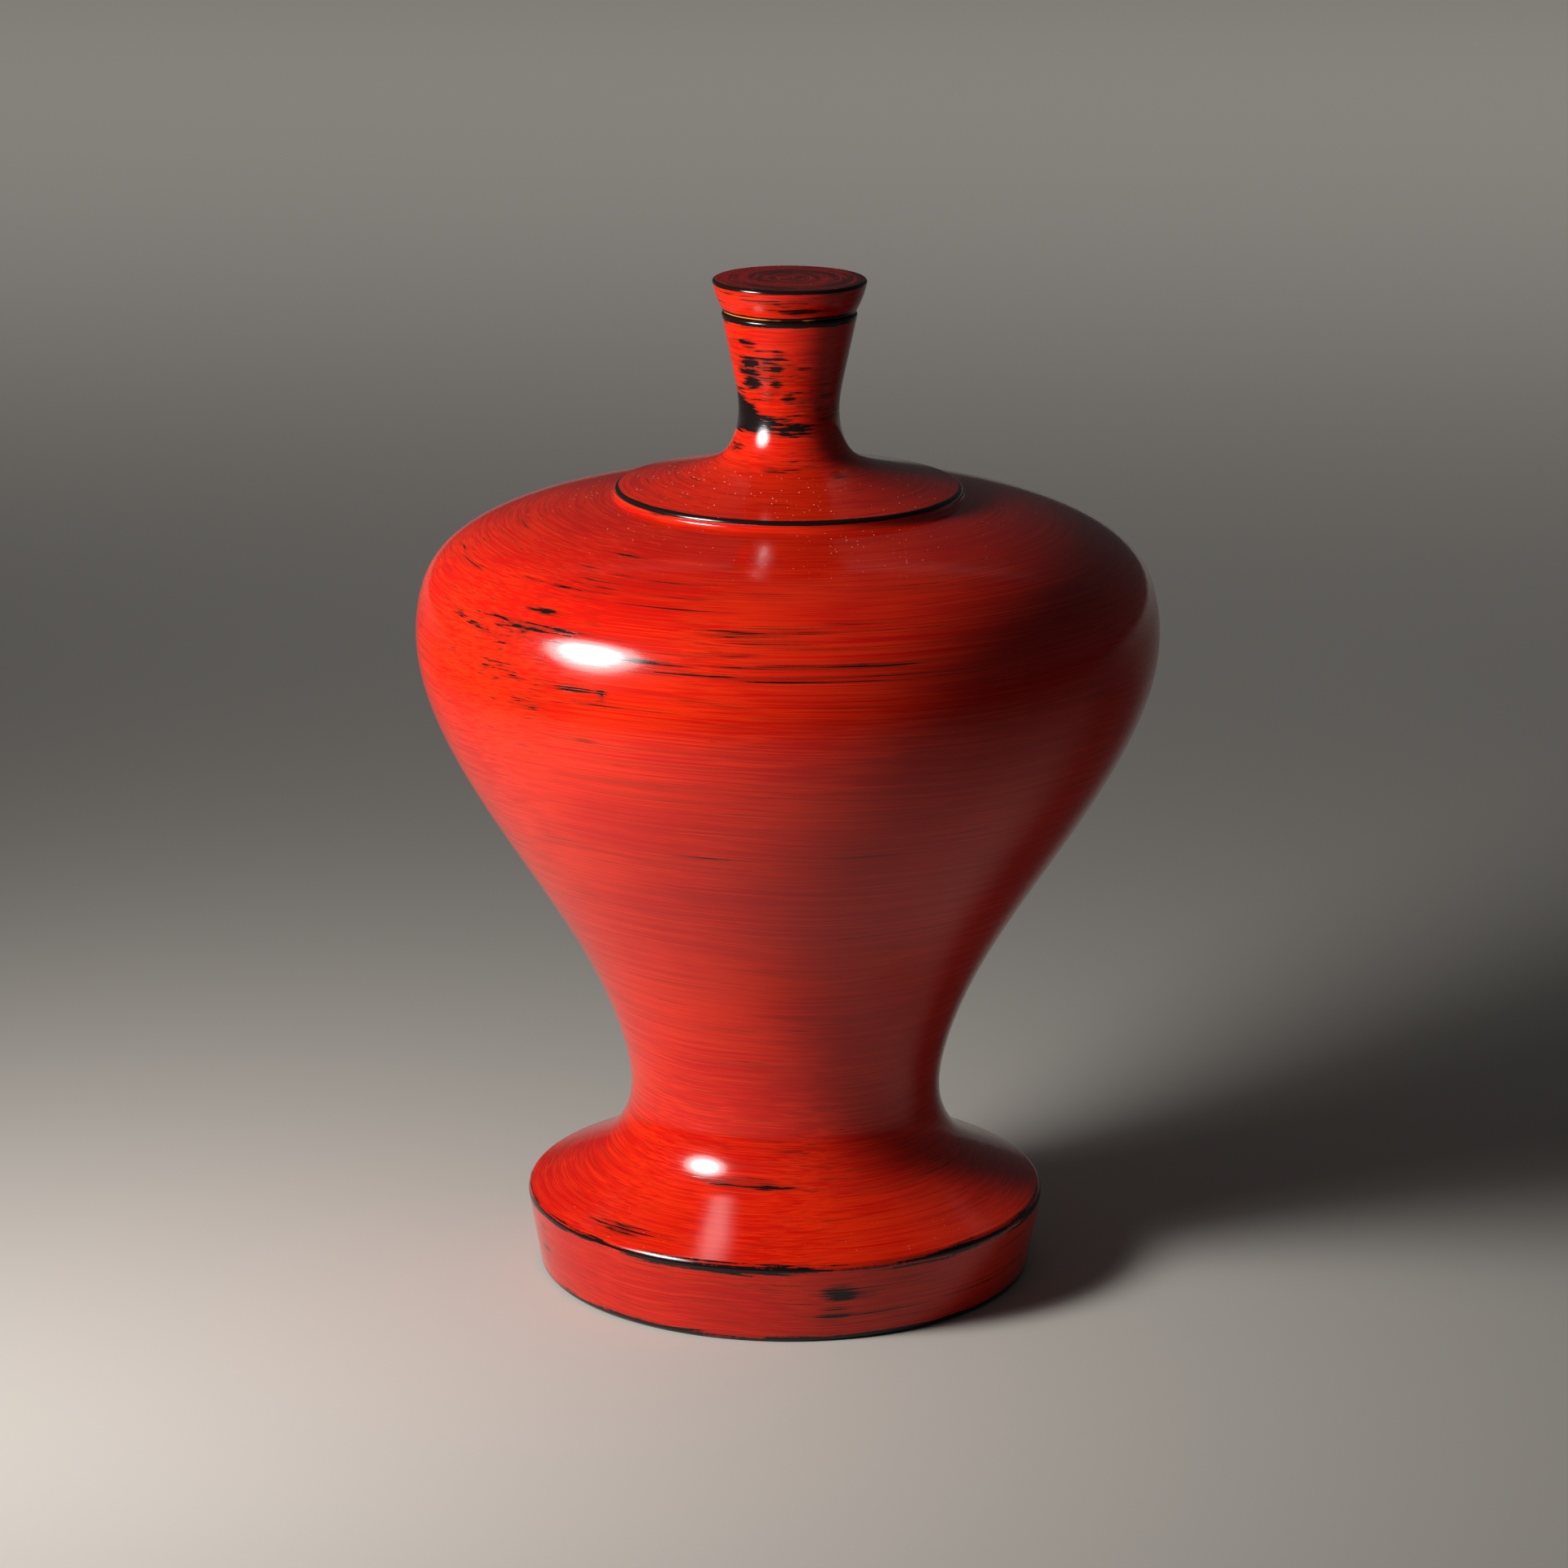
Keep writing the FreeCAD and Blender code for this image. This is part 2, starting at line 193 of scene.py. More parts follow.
# Bare places: angle round the axis, height, half length in degrees, half width
# in mm along the surface, climb in mm for each degree, and how bare the place is.
MARKS = [
    # the neck: blotches down its left front, the dark ring over the joint, short dashes, and
    # painted shade: a broad black patch on its right side, which lies in shadow
    (-41, 311.5, 13, 2.4, 0.0, 1.5), (-44, 305.8, 16, 2.2, 0.0, 1.6),
    (-47, 302.2, 20, 2.2, 0.0, 1.7), (-44, 298.2, 17, 2.2, 0.0, 1.7),
    (-76, 287.0, 46, 11.0, -0.05, 2.9), (-38, 285.6, 26, 5.0, 0.0, 1.9),
    (0, 283.6, 46, 3.4, 0.0, 1.55), (-9, 308.7, 9, 2.0, 0.0, 1.3),
    (-12, 304.0, 9, 1.8, 0.0, 1.1), (-1, 294.0, 10, 1.8, 0.0, 1.3),
    (-13, 298.5, 8, 1.6, 0.0, 1.1), (4, 297.0, 54, 18.0, 0.0, 0.98),
    # the mark at 70 degrees on the next line is painted shade: black put on the neck's right
    # side, where it lies in shadow
    (-42, 302.0, 36, 15.0, 0.0, 0.8), (70, 294.0, 44, 16.0, 0.0, 1.0),
    # the collar's flare
    (-64, 276.6, 18, 3.0, 0.0, 1.3), (-2, 272.4, 30, 3.0, 0.0, 0.95),
    (36, 270.3, 9, 2.6, 0.0, 1.4), (37, 267.3, 8, 1.4, 0.0, 1.3),
    (-61, 267.8, 12, 1.4, 0.0, 1.2), (-10, 275.0, 60, 7.0, 0.0, 0.5),
    # the collar's side
    (-52, 260.9, 22, 1.0, 0.0, 0.9),
    # the top of the shoulder
    (-37, 254.3, 10, 1.3, 0.0, 1.45), (-41, 246.6, 13, 1.1, 0.02, 1.5),
    (-37, 245.0, 10, 1.0, 0.02, 1.4), (-17, 245.2, 16, 1.1, 0.03, 1.4),
    (-80, 253.2, 10, 2.0, 0.0, 1.1), (-2, 241.5, 26, 6.0, 0.1, 0.7),
    (-52, 250.0, 38, 10.0, 0.0, 0.6), (-58, 243.0, 34, 8.0, -0.1, 0.55),
    (-20, 249.0, 30, 6.0, 0.0, 0.55),
    # the girth
    (-41, 240.4, 7, 1.5, 0.0, 1.15), (-42, 235.4, 20, 2.3, 0.0, 1.3),
    (-56, 232.0, 26, 2.0, -0.3, 1.1), (-34, 232.0, 22, 2.0, -0.1, 0.95),
    (-5, 230.8, 32, 1.5, 0.0, 0.8), (-2, 227.9, 30, 1.3, 0.0, 0.85),
    (-8, 234.4, 26, 1.5, 0.0, 0.7), (-33, 220.4, 6, 1.5, 0.0, 1.3),
    (-28.2, 219.4, 1.0, 2.6, 0.0, 1.4), (-42, 211.5, 9, 3.4, 0.0, 0.85),
    (-46, 220.0, 22, 9.0, -0.2, 0.75), (-26, 197.2, 3, 1.2, 0.0, 1.0),
    (-31, 204.0, 3, 1.2, 0.0, 1.0), (-20, 233.0, 60, 12.0, -0.05, 0.5),
    (-56, 226.0, 30, 12.0, -0.2, 0.55),
    # the belly
    (-17, 167.0, 9, 6.0, 0.0, 0.6), (15, 164.0, 11, 9.0, 0.0, 0.65),
    (-44, 168.0, 10, 7.0, 0.0, 0.45),
    # the foot: its flare, the patch by its edge, and its side
    (-6, 57.4, 16, 1.8, 0.0, 1.1), (2, 53.8, 9, 1.8, 0.0, 1.25),
    (-12, 44.0, 30, 3.2, -0.03, 1.35), (-43, 29.6, 12, 4.2, 0.0, 1.6),
    (25, 26.9, 20, 1.4, 0.0, 1.3), (12.0, 17.0, 5, 4.2, 0.0, 1.05),
    (15.0, 15.4, 8, 1.6, 0.0, 1.0), (11.0, 9.6, 5, 3.2, 0.0, 1.0),
    (-70, 14.0, 4, 11.0, 0.0, 1.0), (0, 13.0, 100, 13.0, 0.0, 0.5),
    # the stopper
    (8, 322.8, 20, 1.8, 0.0, 1.1), (-5, 326.0, 28, 1.8, 0.0, 1.0),
    (15, 325.0, 60, 6.0, 0.0, 0.6),
    # the back, in broad faint patches
    (180, 297.0, 80, 18.0, 0.0, 0.9), (180, 233.0, 110, 14.0, 0.05, 0.5),
    (180, 13.0, 80, 13.0, 0.0, 0.5),
]
Mark = namedtuple("Mark", "angle run half_length half_width climb bareness")

# More marks on the back, drawn at random in these bands: lowest, highest and half width in mm.
HIDDEN_MARKS = 56
HIDDEN_BANDS = [
    (282, 312, 2.0), (228, 254, 1.8), (205, 240, 2.2), (60, 200, 2.5), (30, 56, 1.8),
    (4, 22, 2.4), (286, 300, 3.5),
]
BACK_DEG = (95, 265)

# Edges worn to the black: radius, height and half width in mm, and how bare.  Where the last is
# over 2 the black line is unbroken.
EDGES = [
    (80.6, 0.8, 2.8, 0.82), (85.0, 25.8, 2.8, 0.78), (55.7, 262.5, 1.1, 2.6),
    (21.6, 318.9, 1.7, 1.6), (21.3, 320.0, 1.4, 1.6), (24.5, 329.6, 1.1, 2.2),
]


def hidden_marks():
    """Marks for the back, which are drawn at random like the ones on the front."""
    draw = random.Random(7)
    marks = []
    for number in range(HIDDEN_MARKS):
        low, high, width = HIDDEN_BANDS[number % len(HIDDEN_BANDS)]
        angle = draw.uniform(*BACK_DEG)
        height = draw.uniform(low, high)
        length = draw.uniform(4, 18)
        bare = draw.uniform(0.6, 1.3)
        climb = draw.uniform(-0.1, 0.1)
        marks.append((angle, height, length, width, climb, bare))
    return marks


def bareness(marks, degrees, run):
    """How far the marks wear the red through, at a place along the outline."""
    total = 0.0
    for mark in marks:
        away = (degrees - mark.angle + 180) % 360 - 180
        if abs(away) < mark.half_length:
            across = (run - mark.run - mark.climb * away) / mark.half_width
            reach = math.hypot(away / mark.half_length, across)
            total += mark.bareness * max(0.0, 1 - reach ** 2)
    return total


def edge_wear(point):
    """How far the nearest worn edge wears the red through, at a point of the outline."""
    return max(max(0.0, bare * (1 - ((point.x - r) ** 2 + (point.y - z) ** 2) / width ** 2))
               for r, z, width, bare in EDGES)


def marks_along(outline, runs, kinds):
    """The marks that fall on this outline, with their heights turned into places along it."""
    stretch = [(p.y, run) for p, run, kind in zip(outline, runs, kinds + [INSIDE])
               if kind == OUTSIDE]
    low, high = stretch[0][0], stretch[-1][0]
    found = []
    for angle, height, *rest in MARKS + hidden_marks():
        if low < height < high:
            run = next(run for reached, run in stretch if reached >= height)
            found.append(Mark(angle, run, *rest))
    return found


def add_wear(mesh, rings, outline, kinds):
    """Stores on the mesh how worn each point is, for the materials to read; one of the marks is
    painted shade on the neck's right side.
    """
    runs = [0.0]
    for a, b in zip(outline, outline[1:]):
        runs.append(runs[-1] + (b - a).length)
    marks = marks_along(outline, runs, kinds)
    wear = [0.0] * len(mesh.vertices)
    edge = [0.0] * len(mesh.vertices)
    for point, run, ring in zip(outline, runs, rings):
        near = [mark for mark in marks
                if abs(run - mark.run) < mark.half_width + abs(mark.climb * mark.half_length)]
        worn_edge = edge_wear(point)
        for k, index in enumerate(ring):
            edge[index] = worn_edge
            if near:
                wear[index] = bareness(near, 360 * k / SEGMENTS + 90, run)
    for name, values in (("wear", wear), ("edge", edge)):
        mesh.attributes.new(name, "FLOAT", "POINT").data.foreach_set("value", values)


# Pieces -------------------------------------------------------------------------------------

WAVE_MM = 0.05          # slight waves that a hand lathe and many brushed coats leave
RIPPLE_MM = 0.012


def hand_turned(angle, height):
    """How far the surface leaves the true circle, in mm."""
    around = Vector((math.cos(angle), math.sin(angle), height * 0.02))
    ripple_at = Vector((around.x * 2.0, around.y * 2.0, height * 0.22))
    return WAVE_MM * noise.noise(around * 1.7) + RIPPLE_MM * noise.noise(ripple_at)


def turned_rings(outline):
    """The vertices of a turned outline, and each ring's vertex numbers: one on the axis."""
    verts, rings = [], []
    for point in outline:
        on_axis = point.x < TOUCHING_MM
        count = 1 if on_axis else SEGMENTS
        rings.append(range(len(verts), len(verts) + count))
        if on_axis:
            verts.append((0.0, 0.0, point.y * MM))
            continue
        for k in range(SEGMENTS):
            angle = 2 * math.pi * k / SEGMENTS
            radius = (point.x + hand_turned(angle, point.y)) * MM
            verts.append((radius * math.cos(angle), radius * math.sin(angle), point.y * MM))
    return verts, rings


def band(low, high):
    """The faces between two rings, of which one may be a single point."""
    for k in range(SEGMENTS):
        after = (k + 1) % SEGMENTS
        if len(low) == 1:
            yield low[0], high[after], high[k]
        elif len(high) == 1:
            yield low[k], low[after], high[0]
        else:
            yield low[k], low[after], high[after], high[k]


def turned_faces(rings, kinds, closed):
    """The faces between each ring and the next, and the material number of each."""
    faces, face_kinds = [], []
    count = len(rings)
    for number, kind in zip(range(count if closed else count - 1), kinds):
        new = list(band(rings[number], rings[(number + 1) % count]))
        faces += new
        face_kinds += [kind] * len(new)
    return faces, face_kinds


def turned(name, stretches, body, materials, slack=FIT_MM):
    """A closed solid of revolution.  Each stretch is (points, OUTSIDE or INSIDE), from the
    axis at the bottom, round the outside, and back to the axis, or once round a ring."""
    outline, kinds = joined(stretches)
    closed = outline[0].x > 0
    if closed and (outline[0] - outline[-1]).length < TOUCHING_MM:
        outline.pop()
    verts, rings = turned_rings(outline)
    faces, face_kinds = turned_faces(rings, kinds, closed)
    mesh = bpy.data.meshes.new(name)
    mesh.from_pydata(verts, [], faces)
    mesh.polygons.foreach_set("material_index", face_kinds)
    mesh.polygons.foreach_set("use_smooth", [True] * len(faces))
    mesh.set_sharp_from_angle(angle=math.radians(CREASE_DEG))
    add_wear(mesh, rings, outline, kinds)
    piece = bpy.data.objects.new(name, mesh)
    bpy.context.scene.collection.objects.link(piece)
    for material in materials:
        mesh.materials.append(material)
    node = name.removesuffix("_turned")
    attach(piece, body)
    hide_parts(node)
    check_fit(piece, node, slack)


def check_fit(piece, node, slack):
    """Stop if a piece isn't where its CAD node is."""
    low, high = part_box(node)
    for axis in range(3):
        coords = [v.co[axis] for v in piece.data.vertices]
        off = max(abs(min(coords) - low[axis]), abs(max(coords) - high[axis])) / MM
        if off > slack:
            raise ValueError(f"{piece.name} is {off:.2f} mm away from {node}")


def foot_outline(body):
    ring_in, ring_out, hollow = (63.0, 0), (79.4, 0), (61.0, HOLLOW_TOP_Z)
    return [
        (straight((0, HOLLOW_TOP_Z), hollow, 6) + straight(hollow, ring_in), INSIDE),
        (straight(ring_in, ring_out, 3), INSIDE),
        (arc(ring_out, (81.2, 1.6), 1.9), OUTSIDE),
        (straight((81.2, 1.6), (85.2, 24.6)), OUTSIDE),
        (arc((85.2, 24.6), BODY_LINE[0], 3.05, 16), OUTSIDE),
        (spaced(between(body, 0, WAIST_JOINT_Z), STEP), OUTSIDE),
        ([(FOOT_TENON_R, WAIST_JOINT_Z), (FOOT_TENON_R, FOOT_TENON_END_Z),
          (0, FOOT_TENON_END_Z)], INSIDE),
    ]


def belly_outline(body):
    socket_r, socket_end = FOOT_TENON_R + SIDE_GAP, FOOT_TENON_END_Z + END_GAP
    return [
        ([(0, socket_end), (socket_r, socket_end), (socket_r, WAIST_JOINT_Z),
          crossing(body, WAIST_JOINT_Z)], INSIDE),
        (spaced(between(body, WAIST_JOINT_Z, GIRTH_JOINT_Z), STEP), OUTSIDE),
        ([(GIRTH_TENON_R, GIRTH_JOINT_Z), (GIRTH_TENON_R, GIRTH_TENON_END_Z),
          (CAVITY_R, GIRTH_TENON_END_Z), CAVITY_LINE[-1]], INSIDE),
        (spaced(spline(CAVITY_LINE)[::-1], INSIDE_STEP), INSIDE),
        ([(0, CAVITY_FLOOR_Z)], INSIDE),
    ]


def shoulder_outline(body):
    hole_r = SPIGOT_R + SIDE_GAP
    socket_r, socket_end = GIRTH_TENON_R + SIDE_GAP, GIRTH_TENON_END_Z + END_GAP
    return [
        (spaced(between(body, GIRTH_JOINT_Z, ABOVE_ALL_Z), STEP), OUTSIDE),
        ([(hole_r, SEAT_Z), (hole_r, CROWN_UNDER_Z), DOME_LINE[-1]], INSIDE),
        (spaced(spline(DOME_LINE)[::-1], INSIDE_STEP), INSIDE),
        ([(socket_r, socket_end), (socket_r, GIRTH_JOINT_Z), crossing(body, GIRTH_JOINT_Z)],
         INSIDE),
    ]


def collar_outline(neck):
    socket_r, socket_end = NECK_TENON_R + SIDE_GAP, NECK_TENON_END_Z - END_GAP
    bore_top = (BORE_R, socket_end)
    return [
        ([bore_top, (BORE_R, SPIGOT_END_Z), (SPIGOT_R, SPIGOT_END_Z),
          (SPIGOT_R, COVE_START[1]), COVE_START], INSIDE),
        (arc(COVE_START, COVE_END, -COVE_ROUND), OUTSIDE),
        (straight(COVE_END, COLLAR_EDGE, FINE_STEP), OUTSIDE),
        (arc(COLLAR_EDGE, NECK_LINE[0], 1.3), OUTSIDE),
        (spaced(between(neck, 0, NECK_JOINT_Z), NECK_STEP), OUTSIDE),
        ([(socket_r, NECK_JOINT_Z), (socket_r, socket_end), bore_top], INSIDE),
    ]


def neck_outline(neck):
    rim_out, rim_in = (20.9, RIM_Z), (MOUTH_R, RIM_Z)
    throat, tenon_end = (BORE_R, MOUTH_BOTTOM_Z), (BORE_R, NECK_TENON_END_Z)
    return [
        ([tenon_end, (NECK_TENON_R, NECK_TENON_END_Z), (NECK_TENON_R, NECK_JOINT_Z),
          crossing(neck, NECK_JOINT_Z)], INSIDE),
        (spaced(between(neck, NECK_JOINT_Z, ABOVE_ALL_Z), NECK_STEP), OUTSIDE),
        (arc(NECK_LINE[-1], rim_out, 0.85), OUTSIDE),
        (straight(rim_out, rim_in), OUTSIDE),
        (straight(rim_in, throat, 2) + straight(throat, tenon_end, 4), INSIDE),
    ]


def stopper_outline():
    plug_top, head_low, head_high = (11.8, RIM_Z), (21.6, 320.4), (24.75, 329.0)
    return [
        (straight((0, 288.5), (8.3, 288.5)) + [(9.1, 289.3)], INSIDE),
        (straight((9.1, 289.3), plug_top), INSIDE),
        (straight(plug_top, (20.7, RIM_Z)), INSIDE),
        (arc((20.7, RIM_Z), head_low, 1.0), OUTSIDE),
        (arc(head_low, head_high, 30.0, 18), OUTSIDE),
        (arc(head_high, (23.8, TOP_Z), 1.0), OUTSIDE),
        (straight((23.8, TOP_Z), (0, TOP_Z)), OUTSIDE),
    ]


def make_pieces(red, stopper):
    """All six pieces, with their materials: the outside's and the inside's."""
    body = spline(BODY_LINE)
    neck = spline(NECK_LINE)
    turned("foot_turned", foot_outline(body), "bottle", red)
    turned("belly_turned", belly_outline(body), "bottle", red)
    turned("shoulder_turned", shoulder_outline(body), "bottle", red)
    turned("collar_turned", collar_outline(neck), "bottle", red, COVE_MM)
    turned("neck_turned", neck_outline(neck), "bottle", red)
    turned("stopper_turned", stopper_outline(), "stopper", stopper)


# Materials ----------------------------------------------------------------------------------

class Shade:
    """Short names for the nodes of one material."""

    def __init__(self, name):
        self.material = bpy.data.materials.new(name)
        self.material.use_nodes = True
        self.tree = self.material.node_tree
        self.tree.nodes.clear()
        output = self.tree.nodes.new("ShaderNodeOutputMaterial")
        self.surface = self.tree.nodes.new("ShaderNodeBsdfPrincipled")
        self.tree.links.new(self.surface.outputs["BSDF"], output.inputs["Surface"])

    def feed(self, socket, value):
        if isinstance(value, bpy.types.NodeSocket):
            self.tree.links.new(value, socket)
        else:
            socket.default_value = value

    def math(self, operation, *values):
        node = self.tree.nodes.new("ShaderNodeMath")
        node.operation = operation
        for socket, value in zip(node.inputs, values):
            self.feed(socket, value)
        return node.outputs[0]

    def add(self, *values):
        total = values[0]
        for value in values[1:]:
            total = self.math("ADD", total, value)
        return total

    def times(self, *values):
        total = values[0]
        for value in values[1:]:
            total = self.math("MULTIPLY", total, value)
        return total

    def about_half(self, value):
        return self.math("SUBTRACT", value, 0.5)

    def blend(self, noises, shares):
        """The sum of some noises, each times its share."""
        return self.add(*(self.times(noises[name], share) for name, share in shares.items()))

    def swing(self, noises, shares):
        """The same, with each noise's middle taken as nothing."""
        return self.add(*(self.times(self.about_half(noises[name]), share)
                          for name, share in shares.items()))

    def ramp(self, value, low, high, start=0.0, end=1.0):
        """Smoothly from start to end as the value goes from low to high."""
        node = self.tree.nodes.new("ShaderNodeMapRange")
        node.interpolation_type = "SMOOTHSTEP"
        node.clamp = True
        for socket, number in zip(node.inputs, (value, low, high, start, end)):
            self.feed(socket, number)
        return node.outputs[0]

    def mix(self, share, first, second):
        node = self.tree.nodes.new("ShaderNodeMix")
        node.data_type = "RGBA"
        self.feed(node.inputs["Factor"], share)
        self.feed(node.inputs["A"], first)
        self.feed(node.inputs["B"], second)
        return node.outputs["Result"]

    def vector(self, x, y, z):
        node = self.tree.nodes.new("ShaderNodeCombineXYZ")
        for socket, value in zip(node.inputs, (x, y, z)):
            self.feed(socket, value)
        return node.outputs[0]

    def parts(self, vector):
        node = self.tree.nodes.new("ShaderNodeSeparateXYZ")
        self.feed(node.inputs[0], vector)
        return node.outputs

    def attribute(self, name):
        node = self.tree.nodes.new("ShaderNodeAttribute")
        node.attribute_name = name
        return node.outputs["Fac"]

    def facing_up(self):
        """1 where the surface is level and faces up, 0 where it is upright."""
        geometry = self.tree.nodes.new("ShaderNodeNewGeometry")
        return self.parts(geometry.outputs["Normal"])["Z"]

    def noise(self, vector, scale, detail, rough):
        node = self.tree.nodes.new("ShaderNodeTexNoise")
        self.feed(node.inputs["Vector"], vector)
        node.inputs["Scale"].default_value = scale
        node.inputs["Detail"].default_value = detail
        node.inputs["Roughness"].default_value = rough
        return node

    def spot(self, vector, scale, detail, rough=0.5):
        """Smooth noise in space, about 0.5."""
        return self.noise(vector, scale, detail, rough).outputs[0]

    def streaks(self, along, across, seed, detail=2.0, rough=0.5):
        """Noise drawn out round the axis, as a turning brush leaves it: 'along' cells in a
        radian of turn, 'across' cells in a mm over the surface."""
        way = self.vector(self.times(self.cosine, along), self.times(self.sine, along),
                          self.times(self.radius, across))
        node = self.noise(way, 1.0, detail, rough)
        node.noise_dimensions = "4D"
        self.feed(node.inputs["W"], self.add(self.times(self.height, across), seed))
        return node.outputs[0]

    def place(self):
        """Where the point is: the way round the axis as a cosine and a sine, and in mm its
        position, and its radius and height shifted a little so that brush lines wander."""
        coords = self.tree.nodes.new("ShaderNodeTexCoord").outputs["Object"]
        x, y, z = (self.times(socket, 1000.0) for socket in self.parts(coords))
        self.position, self.true_height = self.vector(x, y, z), z
        radius = self.math("SQRT", self.add(self.times(x, x), self.times(y, y)))
        safe = self.math("MAXIMUM", radius, 0.01)
        self.cosine, self.sine = self.math("DIVIDE", x, safe), self.math("DIVIDE", y, safe)
        around = self.vector(self.cosine, self.sine, self.times(z, WANDER_UP))
        drift = self.spot(around, WANDER_ROUND, 1.0)
        shift = self.times(self.about_half(drift), radius, WANDER)
        self.radius, self.height = self.add(radius, shift), self.add(z, shift)


# How brush lines wander: by a share of the radius, in cells round the axis and in each mm up.
WANDER = 0.11
WANDER_ROUND = 0.8
WANDER_UP = 0.008

VERMILION = (0.62, 0.019, 0.003, 1)
DEEP_RED = (0.46, 0.005, 0.002, 1)
THIN_RED = (0.15, 0.010, 0.003, 1)      # where the black shows through
# the darker red of the stopper's level top
DARK_TOP_RED = (0.05, 0.006, 0.003, 1)
BLACK = (0.007, 0.0045, 0.004, 1)
BROWN_BLACK = (0.03, 0.014, 0.009, 1)
# painted reflection: the colour of the warm glint in the stopper's joint
GLINT_AMBER = (0.6, 0.2, 0.02, 1)
DUST = (0.7, 0.58, 0.46, 1)
LACQUER_IOR = 1.43

# Noise drawn out round the axis: cells in a radian, cells in a mm, seed, detail, roughness.
BRUSH = {
    "strokes": (1.2, 1.0, 3.0, 2.0, 0.6),
    "dashes": (3.4, 1.3, 17.0, 2.0, 0.6),
    "bands": (2.4, 0.25, 11.0, 1.0, 0.5),
    "hairs": (1.5, 2.8, 29.0, 1.0, 0.5),
    "threads": (0.7, 1.9, 53.0, 1.0, 0.5),
}
TOP_RINGS = (0.6, 0.4, 41.0, 3.0, 0.75)
INSIDE_LINES = (3.0, 0.8, 5.0)
# Noise in space: cells in a mm, detail, roughness.
CLOUDS = {"clouds": (0.018, 3.0, 0.5), "ragged": (0.5, 4.0, 0.7)}

# What each noise adds to the wear of a place and of an edge, to the tone and to the gloss.
UNWORN = -1.2           # what the marks and the noise have to make up for
WEAR_SHARES = {"strokes": 3.6, "threads": 2.6, "dashes": 3.0, "hairs": 2.2, "ragged": 0.35,
               "clouds": 0.9}
EDGE_SHARE = 3.2
EDGE_SHARES = {"ragged": 1.2, "strokes": 4.4, "dashes": 3.6, "bands": 2.8}
TONE_SHARES = {"hairs": 0.4, "strokes": 0.3, "clouds": 0.3}
FAINT_SHARES = {"threads": 0.5, "hairs": 0.5}
GLOSS_SHARES = {"hairs": 0.6, "clouds": 0.4}

# From where to where each sum takes effect, and what the gloss goes between as a roughness.
GONE_RANGE = (0.3, 0.65)
THIN_RANGE = (-0.7, 0.35)
EDGE_GONE_RANGE = (0.3, 0.45)
EDGE_THIN_RANGE = (-0.3, 0.35)
TONE_RANGE = (0.42, 0.57)
FAINT_RANGE = (0.53, 0.66)
GLOSS_RANGE = (0.3, 0.7)
ROUGHNESS = (0.12, 0.19)

# Heights for the bump, in metres.
HAIR_M = 2.5e-6
STROKE_M = 6.0e-6
RED_COAT_M = -8.0e-6    # what the surface loses where the red is gone

DUST_CELLS = 0.6                        # in a mm, with a speck at most in each
DUST_SIZES = (0.04, 0.15)               # in cells
DUST_NONE_R = 104.0
DUST_ALL_R = 60.0
# The painted amber reflection in the stopper's joint: its height in mm, and the side it is on.
SEAM_GLINT_Z = 320.05
SEAM_GLINT_WAY = (-0.47, -0.88)          # the side it is on, as a direction from the axis


def all_noises(shade):
    noises = {name: shade.streaks(*numbers) for name, numbers in BRUSH.items()}
    for name, numbers in CLOUDS.items():
        noises[name] = shade.spot(shade.position, *numbers)
    return noises


def worn_through(shade, noises, base_wear):
    """Masks from 0 to 1: where the red is gone, and where it is thin.  The gone mask also
    carries the painted shade that one mark puts on the neck's right side.
    """
    worn = shade.add(shade.attribute("wear"), base_wear + UNWORN,
                     shade.swing(noises, WEAR_SHARES))
    edge = shade.add(shade.times(shade.about_half(shade.attribute("edge")), EDGE_SHARE),
                     shade.swing(noises, EDGE_SHARES))
    gone = shade.math("MAXIMUM", shade.ramp(worn, *GONE_RANGE),
                      shade.ramp(edge, *EDGE_GONE_RANGE))
    thin = shade.math("MAXIMUM", shade.ramp(worn, *THIN_RANGE),
                      shade.ramp(edge, *EDGE_THIN_RANGE))
    return gone, thin


def red_coat(shade, noises, thin):
    """The red's colour: deep and bright lines, and darker where it is thin."""
    faint = shade.times(shade.ramp(shade.blend(noises, FAINT_SHARES), *FAINT_RANGE), 0.55)
    tone = shade.ramp(shade.blend(noises, TONE_SHARES), *TONE_RANGE)
    red = shade.mix(tone, DEEP_RED, VERMILION)
    return shade.mix(shade.math("MAXIMUM", shade.times(thin, 0.75), faint), red, THIN_RED)


def dust_specks(shade, facing_up, clouds):
    """Specks of dust, a fraction of a mm wide, on what faces up near the collar."""
    cells = shade.tree.nodes.new("ShaderNodeTexVoronoi")
    shade.feed(cells.inputs["Vector"], shade.position)
    cells.inputs["Scale"].default_value = DUST_CELLS
    chance = shade.tree.nodes.new("ShaderNodeSeparateColor")
    shade.feed(chance.inputs[0], cells.outputs["Color"])
    size = shade.ramp(chance.outputs[0], 0.2, 1.0, *DUST_SIZES)
    speck = shade.ramp(shade.math("SUBTRACT", size, cells.outputs["Distance"]), 0.0, 0.03)
    gathered = shade.ramp(shade.add(clouds, shade.times(chance.outputs[1], 0.3)), 0.55, 0.72)
    return shade.times(speck, gathered, shade.ramp(facing_up, 0.86, 0.97),
                       shade.ramp(shade.radius, DUST_NONE_R, DUST_ALL_R))


def seam_glint(shade, breaks):
    """A painted reflection: a thin amber glint in the joint at the stopper's lower edge, on its
    left front.
    """
    away = shade.math("ABSOLUTE", shade.math("SUBTRACT", shade.true_height, SEAM_GLINT_Z))
    facing = shade.add(shade.times(shade.cosine, SEAM_GLINT_WAY[0]),
                       shade.times(shade.sine, SEAM_GLINT_WAY[1]))
    return shade.times(shade.ramp(away, 0.27, 0.1), shade.ramp(facing, 0.6, 0.8),
                       shade.ramp(breaks, 0.38, 0.5))


